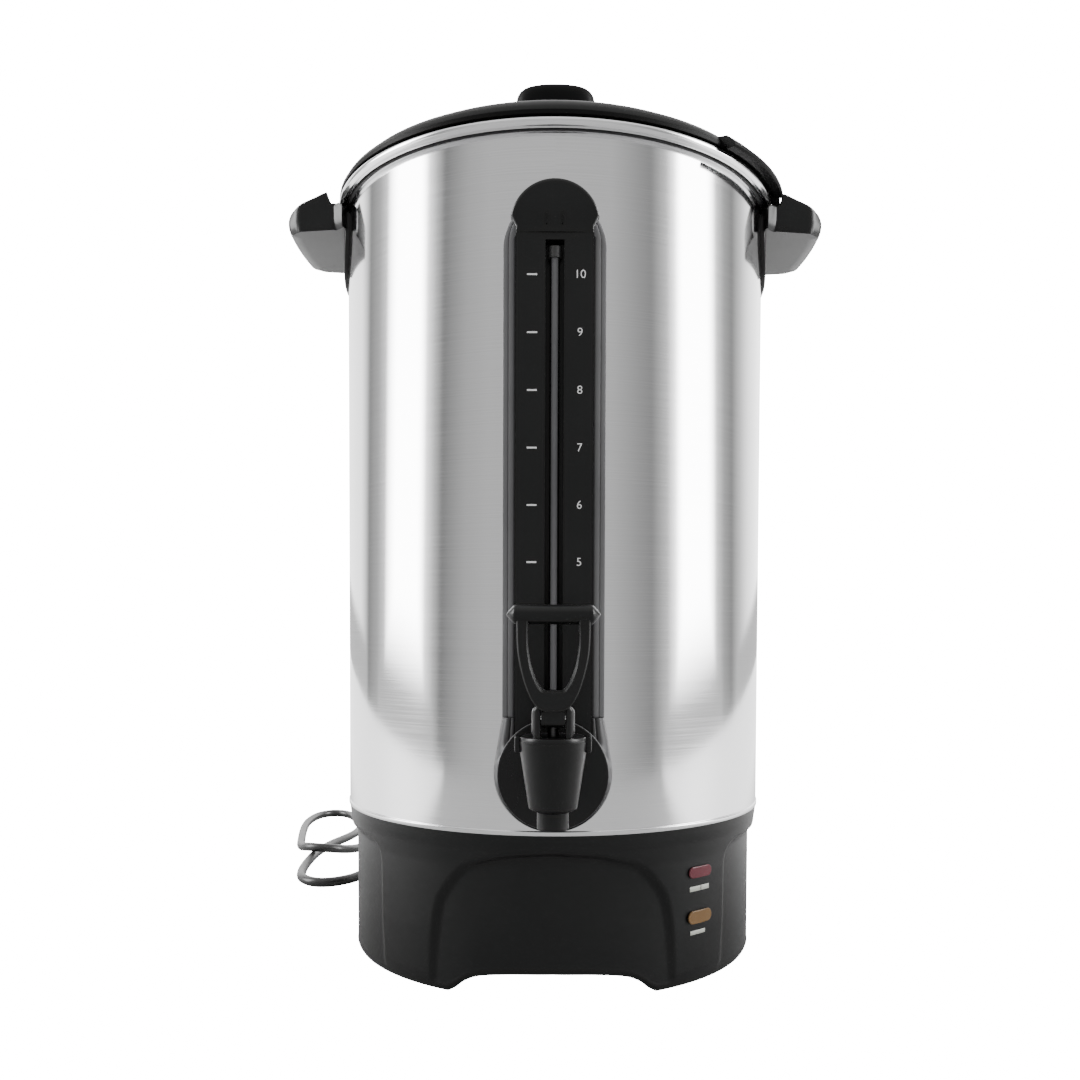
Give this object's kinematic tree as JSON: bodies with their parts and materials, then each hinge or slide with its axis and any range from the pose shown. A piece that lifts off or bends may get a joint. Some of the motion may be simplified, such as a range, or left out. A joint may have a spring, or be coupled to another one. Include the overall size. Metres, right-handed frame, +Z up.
{
  "type": "coffee urn",
  "caption": "Double-wall steel coffee urn with a sight gauge, self-closing tap, twist-lock lid, side handles, moulded base and mains lead",
  "frame": {"origin": "on the surface that the urn stands on, under the axis of its body", "axes": "+Z up along the body's axis, -Y towards the tap and the gauge, +X to the right seen from the tap"},
  "size_m": [0.3658, 0.5256, 0.4799],
  "materials": {
    "steel_brushed": "fine brushed stainless steel",
    "steel_polished": "polished stainless steel",
    "aluminium_plate": "plain cast aluminium",
    "plastic_black": "black heat-proof plastic with a soft sheen",
    "plastic_grey": "silver grey satin plastic",
    "plastic_panel": "dark satin gauge panel",
    "plastic_pale": "pale terminal plastic",
    "lens_red": "clear red lens",
    "lens_amber": "clear amber lens",
    "rubber_black": "black rubber",
    "brass_fitting": "turned brass",
    "glass_clear": "clear sight tube"
  },
  "bodies": {
    "urn": {"outer_shell": "steel_brushed", "inner_vessel": "steel_brushed", "rim_ring": "steel_polished", "base_housing": "plastic_black", "rubber_feet": "rubber_black", "bottom_plate": "steel_brushed", "base_screws": "steel_polished", "vessel_studs": "steel_polished", "stud_nuts": "steel_polished", "heater_plate": "aluminium_plate", "heater_tube": "steel_brushed", "thermostat": "plastic_black", "thermal_cutout": "plastic_black", "terminal_block": "plastic_pale", "red_lamp": "lens_red", "amber_lamp": "lens_amber", "handle_left": "plastic_black", "handle_right": "plastic_black", "handle_screws": "steel_polished", "gauge_frame": "plastic_grey", "gauge_panel": "plastic_panel", "gauge_cap": "plastic_black", "tap_skirt": "plastic_grey", "tap_flange": "plastic_black", "gauge_banjo": "brass_fitting", "sight_tube": "glass_clear", "tube_top_seal": "rubber_black", "tube_bottom_seal": "rubber_black", "tap_washers": "rubber_black", "tap_nut": "brass_fitting", "tap_body": "plastic_black", "bonnet": "plastic_black", "lever_pin": "steel_polished", "tap_spring": "steel_polished", "pump_tube": "steel_brushed", "coffee_basket": "steel_brushed", "basket_cover": "steel_brushed", "cord_gland": "rubber_black", "cord_tube": "rubber_black", "cord_coil": "rubber_black", "plug_body": "plastic_black", "plug_pins": "brass_fitting"},
    "lever": {"tap_lever": "plastic_black"},
    "valve": {"valve_stem": "steel_polished", "seat_cup": "rubber_black"},
    "lid_ring": {"lid_seal": "rubber_black"},
    "lid": {"lid_shell": "plastic_black", "lid_knob": "plastic_black", "knob_screw": "steel_polished"}
  },
  "joints": [
    {"name": "lever_pull", "type": "hinge", "parent": "urn", "child": "lever", "pos_m": [0, -0.159, 0.139], "axis": [1, 0, 0], "range_deg": [0, 40], "stiffness_Nm_per_rad": 0.25, "springref_deg": -17.19},
    {"name": "stem_lift", "type": "slide", "parent": "urn", "child": "valve", "axis": [0, 0, 1], "range_m": [0, 0.004], "deforming": ["tap_spring"]},
    {"name": "lid_lift", "type": "slide", "parent": "urn", "child": "lid_ring", "axis": [0, 0, 1], "range_m": [0, 0.15]},
    {"name": "lid_turn", "type": "hinge", "parent": "lid_ring", "child": "lid", "pos_m": [0, 0, 0.407], "axis": [0, 0, 1], "range_deg": [-50, 0]}
  ],
  "couplings": [
    {"joint": "stem_lift", "follows": "lever_pull", "m_per_rad": 0.005525}
  ]
}
